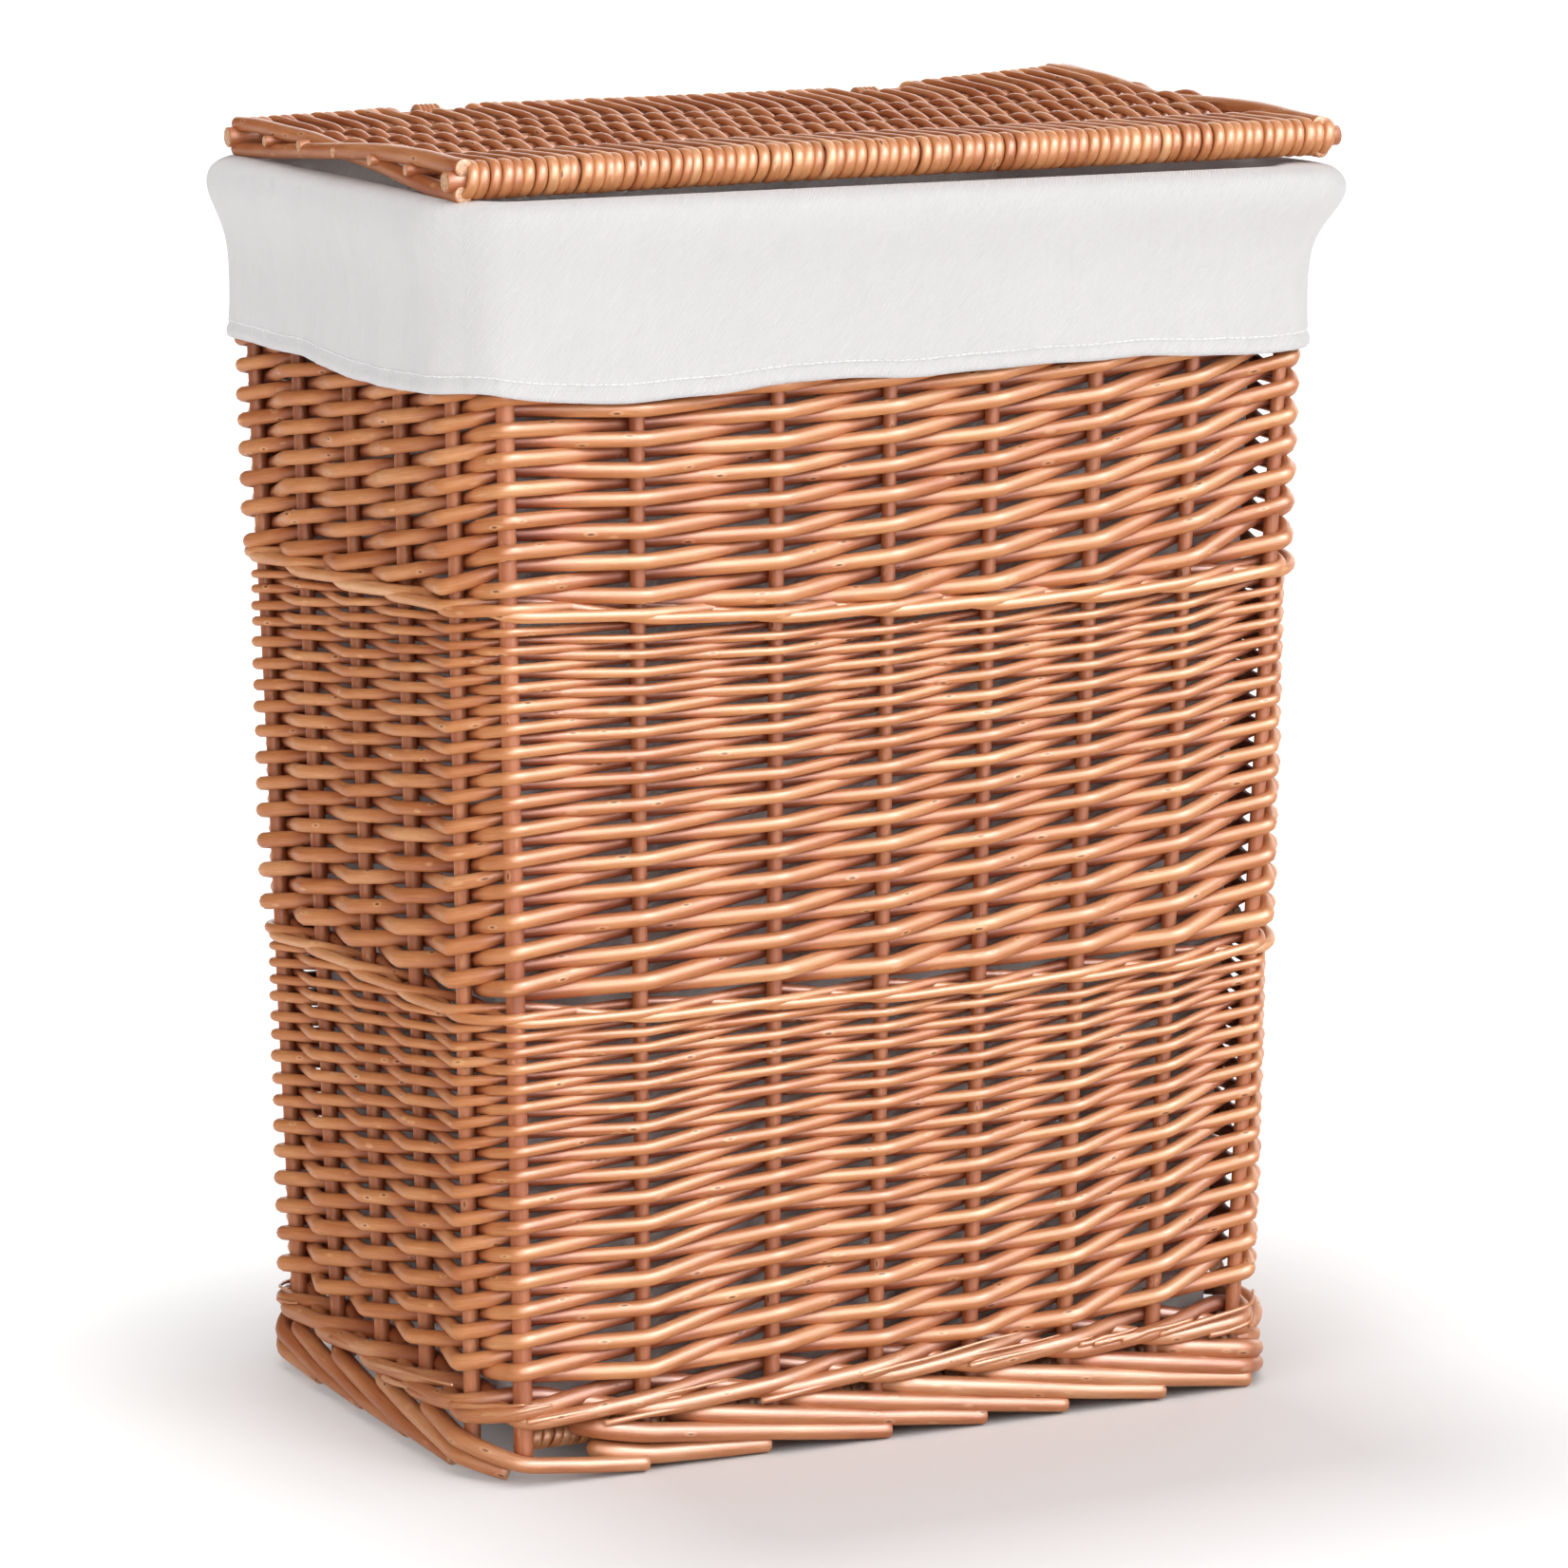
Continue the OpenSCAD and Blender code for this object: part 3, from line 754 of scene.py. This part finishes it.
def strand_rod(rods, path, panel, tone):
    """A strand that is nearly round, but pressed flat where it wraps the edge rods."""
    edge = np.clip((np.abs(path[:, 1]) - panel.edge_y + 9) / 6, 0, 1)
    thick = panel.strand * rng.uniform(0.92, 1.08)
    wide = panel.field_wide + (panel.width / 2 - panel.field_wide) * edge
    flat = wide * rng.uniform(0.93, 1.08) / thick
    # Painted shade: a strand is coloured darker and redder in the field, between the edge rods
    deep = 0.45 * (1 - edge)
    rods.add(path, thick, tone=tone, ref=(1, 0, 0), flat=flat, ends=("round", "round"), deep=deep)


def weave_panel(name, panel, low, high, gaps=(), gap_half=0.0, body="lid"):
    """Strands side by side from low to high in X; those in a gap leave the back rod bare."""
    rods = Rods(10)
    count = int(round((high - low) / panel.width))
    for j in range(count + 1):
        x = low + (high - low) * j / count + rng.normal(0, 0.35)
        short = any(abs(x - g) < gap_half for g in gaps)
        path = panel.strand_path(x, j, panel.width * 0.8, short)
        strand_rod(rods, path, panel, rng.uniform(0.25, 0.95))
    rods.piece(name, WILLOW_WEAVE, body, "willow_weave", [name])


def straight_rod(
    name, panel, y, half, radius, body, ends_half=None, ends_r=None, wave=0.4, shift=0.0
):
    """A rod along X, thinner towards its ends where it has thin ends."""
    ends_half, ends_r = ends_half or half, ends_r or radius
    x = np.linspace(-ends_half, ends_half, 90)
    knots = [0, half - 4, half + 2, ends_half]
    size = np.interp(np.abs(x), knots, [radius, radius, ends_r, ends_r])
    size = size * (1 + drift(len(x), 0.1, 0.02))
    ys, zs = y + drift(len(x), 0.08, wave), drift(len(x), 0.08, wave * 0.5)
    path = np.column_stack([x + shift, ys, zs])
    rods = Rods(14)
    # Painted shade: every straight rod gets an even share of the darker, redder painted shade
    rods.add(panel.raised(path), size, tone=rng.uniform(0.2, 0.6), deep=0.2)
    rods.piece(name, WILLOW_STICK, body, "willow_stick", [name])


def make_base():
    """The bottom: a woven mat of three sticks between two edge rods."""
    low, high = box_mm("base_weave")
    rod_low, rod_high = box_mm("base_back_rod")
    edge_y = (rod_low[1] + rod_high[1]) / 2
    half = (rod_high[0] - rod_low[0]) / 2
    pitch = edge_y / 2
    edge_r, stick_r = 4.0, 3.5
    level = (low[2] + high[2]) / 2
    panel = Panel(level, edge_y, edge_r, [-pitch, 0, pitch], stick_r, 0.95, 4.8, 2.3)
    weave_panel("base_weave", panel, -half + 1, half - 1, body="basket")
    straight_rod("base_front_rod", panel, -edge_y, half, edge_r, "basket")
    straight_rod("base_back_rod", panel, edge_y, half, edge_r, "basket")
    for name, y in (("front", -pitch), ("middle", 0.0), ("back", pitch)):
        straight_rod(f"base_stick_{name}", panel, y, half, stick_r - 0.1, "basket")


LOOP_X = 114.0  # the hinge loops, to the left and right of the middle
LOOP_GAP = 17.0  # how far the lid's weave stays clear of a loop's middle
LID_WRAPS = (-202.5, 219.0)  # first and last strand
LID_SHIFT = 5.0  # the woven lid sits a little to the right
# How far the lid's edges are lifted, by X
FRONT_LIFT = ([-217, -60, 225], [-3.0, -1.0, 0.0])
BACK_LIFT = ([-217, -LOOP_X, 0, LOOP_X - 15, LOOP_X + 15, 225], [-3.0, 0.0, 0.0, 0.4, 1.6, 8.0])


def lid_lift(x, y):
    """How the lid has warped: down a little at its left end, up at its back right corner."""
    depth = np.clip((y + 124) / 248, 0, 1)
    back = ease(depth, 0.5)
    middle = 2.6 * np.sin(np.pi * depth)
    return np.interp(x, *FRONT_LIFT) * (1 - back) + np.interp(x, *BACK_LIFT) * back + middle


def make_lid():
    """The lid: a woven mat of five sticks between two edge rods, closed by rods at its ends."""
    low, high = box_mm("lid_back_rod")
    edge_y, level = (low[1] + high[1]) / 2, (low[2] + high[2]) / 2
    sticks = [-80, -40, 0, 40, 80]
    edge_r, stick_r, end_r = 5.5, 3.2, 4.6
    panel = Panel(level, edge_y, edge_r, sticks, stick_r, 1.7, 5.3, 2.1, lid_lift)
    weave_panel("lid_weave", panel, *LID_WRAPS, (-LOOP_X, LOOP_X), LOOP_GAP)
    front, back = LID_SHIFT + 1.5, LID_SHIFT
    straight_rod("lid_front_rod", panel, -edge_y, 210, edge_r, "lid", 219.5, end_r, shift=front)
    straight_rod("lid_back_rod", panel, edge_y, 209, edge_r + 0.4, "lid", 217, end_r, 0.05, back)
    for i, y in enumerate(sticks, 1):
        straight_rod(f"lid_stick_{i}", panel, y, 207, stick_r, "lid", 217, 2.6, shift=LID_SHIFT)
    for side, label in ((-1, "left"), (1, "right")):
        make_end_rods(panel, side, label)


def make_end_rods(panel, side, label):
    """Two rods across the lid's end, that change places once between two sticks."""
    for level, word in ((1, "upper"), (-1, "lower")):
        y = np.linspace(-127.5, 126, 70)
        swap = ease(np.clip((y + 90) / 200, 0, 1), 0.6)
        rise = level * 5.6 * (1 - 2 * swap)
        spread = level * 2.6 * hump(y, 10, 60)
        x = LID_SHIFT + side * (211 + spread) + drift(len(y), 0.1, 0.35)
        path = np.column_stack([x, y, rise + drift(len(y), 0.1, 0.25)])
        radius = np.interp(y, [-127, 126], [4.1, 3.3])
        rods = Rods(14)
        rods.add(panel.raised(path), radius, tone=rng.uniform(0.3, 0.8))
        name = f"lid_end_rod_{label}_{word}"
        rods.piece(name, WILLOW_BORDER, "lid", "willow_border", [name])


def make_hinge_loop(label):
    """A strand wound five times round the back rod, with both ends pushed down into the rim."""
    name = f"hinge_loop_{label}"
    low, high = box_mm(name)
    back_low, back_high = box_mm("lid_back_rod")
    y0, z0 = (back_low[1] + back_high[1]) / 2, (back_low[2] + back_high[2]) / 2
    reach, strand, turns = 7.75, 1.3, 5
    count = 24 * turns
    turn = np.linspace(0, 2 * np.pi * turns, count)
    x = np.linspace(low[0] + strand, high[0] - strand, count)
    coil = np.column_stack([x, y0 + reach * np.cos(turn), z0 - reach * np.sin(turn)])
    down = np.column_stack([np.zeros(9), np.linspace(-1.6, 0, 9), np.linspace(-27.5, -1.5, 9)])
    lead, tail = coil[0] + down, coil[-1] + down[::-1]
    rods = Rods(10)
    rods.add(smooth(np.concatenate([lead, coil, tail]), 1), strand, ref=(1, 0, 0.02), tone=0.7)
    rods.piece(name, WILLOW_BORDER, "basket", "willow_border", [name])


# ---------------------------------------------------------------- liner


CLOTH_COLUMNS = 640  # points round a ring of cloth
SEAM = 25.55  # stake number of the cuff's upright seam


def outline_numbers():
    """Stake numbers that are evenly spaced along the rim, from the seam, and the rim's length."""
    u = np.linspace(0, STAKES, 2601) + SEAM
    length = lengths_along(place(u, 560.0, 12.0))
    even = np.linspace(0, length[-1], CLOTH_COLUMNS, endpoint=False)
    return np.interp(even, length, u) % STAKES, length[-1]


def wave_sum(angle, parts):
    """A sum of waves round the basket: (how many waves, how high, where it starts)."""
    return sum(high * np.sin(number * angle + start) for number, high, start in parts)


def round_corners(ring, times):
    """Rounds off a closed ring of points."""
    for _ in range(times):
        ring = ring * 0.5 + (np.roll(ring, 1, 0) + np.roll(ring, -1, 0)) * 0.25
    return ring


def cloth_grid(name, rings, cloth_v, perimeter, closed_bottom=False, thick=1.0):
    """A cloth that closes on itself, from rings of points, with a thickness in mm.

    cloth_v is how far down the cloth each ring lies. The weave's pattern is mirrored halfway round,
    so that it meets itself at the seam.
    """
    rows, cols = len(rings), len(rings[0])
    verts = np.concatenate(rings)
    faces = []
    for r in range(rows - 1):
        a = r * cols + np.arange(cols)
        b = r * cols + (np.arange(cols) + 1) % cols
        faces.extend(np.stack([a, b, b + cols, a + cols], -1).tolist())
    around = np.abs(np.linspace(-perimeter / 2, perimeter / 2, cols, endpoint=False))
    down = np.repeat(cloth_v, cols)
    cloth = np.column_stack([np.tile(around, rows), down, np.zeros(rows * cols)])
    if closed_bottom:
        faces.append((np.arange(cols) + (rows - 1) * cols).tolist())
    obj = make_mesh(name + "_cloth", verts, faces, COTTON)
    point_values(obj, "cloth", cloth)
    shell = obj.modifiers.new("thickness", "SOLIDIFY")
    shell.thickness = thick * MM
    shell.offset = 0.0
    return obj


# The cuff's section: (out, height), from its inner end, over the rim and down to the hem
CUFF_KEYS = np.array([
    (-11.5, 556.0), (-11.2, 561.5), (-8.0, 564.6), (0.0, 566.0), (7.0, 565.2), (11.4, 562.0),
    (12.8, 556.0), (12.6, 549.0), (11.6, 540.0), (10.4, 530.0), (9.9, 520.0), (9.9, 508.0),
    (10.4, 496.0), (10.8, 489.0), (11.2, 484.4),
])
CUFF_RINGS = 60
HEM_SEAM = 490.5  # height of the hem's stitches
# How much further the cloth bulges over the rim, by stake number
RIM_BULGE = (
    [0, 3, 6.0, 6.9, 7.6, 9, 12, 13.5, 20, 24, 26],
    [2.6, 3.2, 4.6, 10.0, 13.0, 7.0, 4.6, 4.6, 6.6, 2.6, 2.6],
)
# Room for the rods under the cloth where it goes round a corner, by stake number
CORNER_ROOM = {0: 1.3, 7: 1.3, 8: 1.3, 12: 1.3, 13: 1.3, 20: 0.4, 21: 0.4, 25: 1.3, 26: 1.3}


def cuff_profile():
    """The cuff's section, as evenly spaced (out, height) points, and how long it is."""
    run = lengths_along(CUFF_KEYS)
    even = np.linspace(0, run[-1], CUFF_RINGS)
    points = np.column_stack([np.interp(even, run, CUFF_KEYS[:, c]) for c in range(2)])
    return smooth(points, 2), run[-1]


def cuff_rings(u, angle, profile, puckers):
    """The cuff's rings, from inside the rim, over it, and down to the hem."""
    bulge = np.interp(u, *RIM_BULGE)
    corner = sum(room * hump(u, c, 0.3) for c, room in CORNER_ROOM.items())
    sag_down = 6.0 * hump(u, 0.95, 0.8) + 2.0 * hump(u, 24.0, 1.2)
    hem = wave_sum(angle, [(5, 0.8, 0.4), (9, 0.6, 2.0), (17, 0.5, 1.0), (31, 0.3, 0.3)]) - sag_down
    loose = 0.95 + 1.3 * hump(u, 7.0, 1.2) + 0.8 * hump(u, 23.0, 2.2)
    ridge = 1.3 * (hump(angle, 0.0, 0.012) + hump(angle, 2 * np.pi, 0.012))
    rings = []
    for out, z in profile:
        if out <= 0:
            rings.append(round_corners(place(u, z, out), 16))
            continue
        down = np.clip((560 - z) / 76, 0, 1)
        puff = bulge * hump(z, 556, 17.0) * min(1.0, out / 9)
        seam, roll = 0.6 * hump(z, HEM_SEAM, 1.2), 0.8 * hump(z, 486.5, 2.4)
        rough = soft_folds(angle, z) * (0.3 + 0.7 * down) * loose
        rough = np.maximum(rough, -0.5 + 0.15 * rough) + puckers * (1.2 if z < 498 else 0.2)
        ring = place(u, z, out + puff + rough - seam + roll + corner + ridge)
        ring[:, 2] += hem * down ** 1.6
        rings.append(round_corners(ring, 16))
    return rings


def make_cuff():
    """The liner's edge, folded over the rim, with its hem. Gives its rings too."""
    u, perimeter = outline_numbers()
    angle = np.linspace(0, 2 * np.pi, len(u), endpoint=False)
    profile, length = cuff_profile()
    puckers = wave_sum(angle, [(211, 0.18, 0.0), (173, 0.16, 1.0), (97, 0.2, 0.4)])
    rings = keep_puckers(cuff_rings(u, angle, profile, puckers), puckers)
    obj = cloth_grid("liner_cuff", rings, np.linspace(0, length, len(rings)), perimeter)
    settle(obj, "basket", ["liner_cuff"])
    return obj, rings


def soft_folds(angle, z):
    """Upright and slanting folds, that change slowly with height."""
    lean = (z - 520) / 76
    upright = wave_sum(angle + 0.010 * lean, [(13, 0.5, 0.2), (22, 0.45, 2.1), (37, 0.3, 0.7)])
    slanting = wave_sum(angle + 0.09 * lean, [(17, 0.45, 1.2), (29, 0.35, 0.1), (53, 0.2, 2.0)])
    other = wave_sum(angle - 0.12 * lean, [(11, 0.4, 0.9), (43, 0.22, 1.4)])
    return upright + slanting + other


def keep_puckers(rings, puckers):
    """The stitched hem's small puckers, added after the corners are rounded."""
    for ring in rings:
        share = hump(ring[:, 2].mean(), 489, 5.0)
        middle = ring.mean(0)
        outward = ring - middle
        outward[:, 2] = 0
        outward /= np.linalg.norm(outward, axis=1)[:, None]
        ring += outward * (puckers * 1.3 * share)[:, None]
    return rings


def make_stitches(rings):
    """The running stitches above the cuff's hem."""
    row = int(np.argmin([abs(ring[:, 2].mean() - HEM_SEAM) for ring in rings]))
    closed = np.vstack([rings[row], rings[row][:1]])
    length = lengths_along(closed)
    rods = Rods(6)
    pitch, stitch, thread_r = 3.4, 2.2, 0.38
    centre = closed.mean(0)
    for start in np.arange(0, length[-1] - pitch, pitch):
        s = np.linspace(start, start + stitch, 5)
        path = np.column_stack([np.interp(s, length, closed[:, i]) for i in range(3)])
        outward = path[2] - centre
        outward[2] = 0
        outward /= np.linalg.norm(outward)
        path += outward * (0.55 + 0.25 * np.sin(np.linspace(0, np.pi, 5)))[:, None]
        rods.add(path, thread_r, ends=("round", "round"))
    obj = make_mesh("liner_stitching", np.concatenate(rods.verts), rods.faces, THREAD)
    point_values(obj, "cloth", np.concatenate(rods.grain))
    return settle(obj, "basket", [])


def make_bag():
    """The bag inside: soft upright folds, a rounded lower edge and a flat bottom."""
    u, _ = outline_numbers()
    angle = np.linspace(0, 2 * np.pi, len(u), endpoint=False)
    folds = wave_sum(angle, [(7, 1.0, 0.3), (12, 0.9, 1.1), (19, 0.7, 2.2), (33, 0.4, 0.5)])
    second = wave_sum(angle, [(8, 1.0, 2.3), (15, 0.9, 0.1), (23, 0.6, 1.2)])
    rings = []
    levels = np.concatenate([np.linspace(561, 34, 46), [30, 27, 25.2, 24.4]])
    inward = np.concatenate([np.full(46, 13.2), [13.8, 15.5, 19.0, 24.0]])
    for z, inset in zip(levels, inward):
        mix = 0.5 + 0.5 * math.sin((z - 24) / 90)
        slack = (folds * mix + second * (1 - mix)) * 0.8 - 1.6
        near_cuff = min(1.0, max(0.0, (z - 545) / 12))  # at the top the bag meets the cuff
        out = (np.minimum(slack, 0.6) - inset) * (1 - near_cuff) - 12.1 * near_cuff
        rings.append(round_corners(place(u, z, out), 8))
    low_ring = rings[-1]
    centre = low_ring.mean(0)
    for share in (0.9, 0.75, 0.55, 0.35, 0.15, 0.03):
        ring = centre + (low_ring - centre) * share
        ring[:, 2] = 24.2 + 0.5 * np.sin(angle * 6 + share * 9) * share
        rings.append(ring)
    steps = [np.linalg.norm((b - a), axis=1).mean() for a, b in zip(rings, rings[1:])]
    run = np.append(0, np.cumsum(steps))
    obj = cloth_grid("liner_bag", rings, run, 1240.0, closed_bottom=True, thick=0.9)
    return settle(obj, "basket", ["liner_bag"])


def make_liner():
    cuff, rings = make_cuff()
    stitches = make_stitches(rings)
    bag = make_bag()


# ---------------------------------------------------------------- stage


def make_stage():
    """The floor, which is no part of the basket."""
    floor = bpy.data.meshes.new("floor")
    half = 30.0
    corners = [(-half, -half, 0), (half, -half, 0), (half, half, 0), (-half, half, 0)]
    floor.from_pydata(corners, [], [(0, 1, 2, 3)])
    floor.materials.append(floor_material())
    obj = bpy.data.objects.new("floor", floor)
    bpy.context.scene.collection.objects.link(obj)


def aim(obj, target):
    """Turns a light's beam to a target."""
    obj.rotation_euler = (Vector(target) - obj.location).to_track_quat("-Z", "Y").to_euler()


# Suns: name, direction to it from the basket, strength, width in degrees, colour
SUNS = (
    ("key", (0.30, -0.85, 0.62), 0.95, 34, (1.0, 0.985, 0.96)),
    ("right_fill", (0.92, -0.35, 0.40), 0.45, 40, (1.0, 0.99, 0.98)),
    ("left_fill", (-0.86, -0.45, 0.42), 1.0, 40, (1.0, 0.975, 0.95)),
    ("top", (0.05, -0.15, 1.0), 1.15, 60, (1.0, 1.0, 1.0)),
)
# These show only in the varnish: a clear light, a broad one for the sheen, and a low one behind
GLOSS_SUNS = (
    ("shine", (0.38, -0.60, 0.69), 10.0, 30, (1.0, 0.99, 0.97)),
    ("sheen", (0.12, -0.80, 0.30), 25.0, 90, (1.0, 0.99, 0.97)),
    ("sheen_behind", (0.70, 0.75, 0.30), 2.2, 60, (1.0, 0.99, 0.97)),
)


def add_sun(name, towards, strength, width, colour):
    light = bpy.data.lights.new(name, "SUN")
    light.energy, light.angle, light.color = strength, math.radians(width), colour
    obj = bpy.data.objects.new(name, light)
    obj.location = Vector(towards) * 4
    aim(obj, (0, 0, 0.3))
    bpy.context.scene.collection.objects.link(obj)
    return obj


def make_light():
    scene = bpy.context.scene
    world = bpy.data.worlds.new("studio")
    world.use_nodes = True
    background = world.node_tree.nodes["Background"]
    background.inputs["Color"].default_value = (1.0, 1.0, 1.0, 1)
    background.inputs["Strength"].default_value = 0.36
    scene.world = world
    world.cycles_visibility.glossy = False
    for sun in SUNS:
        add_sun(*sun)
    for sun in GLOSS_SUNS:
        add_sun(*sun).visible_diffuse = False
    scene.view_settings.view_transform = "Standard"
    scene.view_settings.look = "None"


# The camera, fitted to the photo: place, tilt and turn in degrees, and lens in mm
CAMERA_PLACE = (-1.3426, -2.6996, 0.8314)
CAMERA_TURN = (79.6, 0.0, -26.6)
CAMERA_LENS = 152.6


def make_camera():
    data = bpy.data.cameras.new("camera")
    data.lens, data.sensor_width = CAMERA_LENS, 36.0
    data.clip_end = 100.0
    obj = bpy.data.objects.new("camera", data)
    obj.location = CAMERA_PLACE
    obj.rotation_euler = [math.radians(degrees) for degrees in CAMERA_TURN]
    bpy.context.scene.collection.objects.link(obj)
    bpy.context.scene.camera = obj


def main():
    make_stakes()
    for name, sizes in WEAVE_BANDS.items():
        weave_band(name, *sizes)
    make_wales()
    make_foot_border()
    make_rim_border()
    make_base()
    make_lid()
    make_hinge_loop("left")
    make_hinge_loop("right")
    make_liner()
    make_stage()
    make_light()
    make_camera()


main()
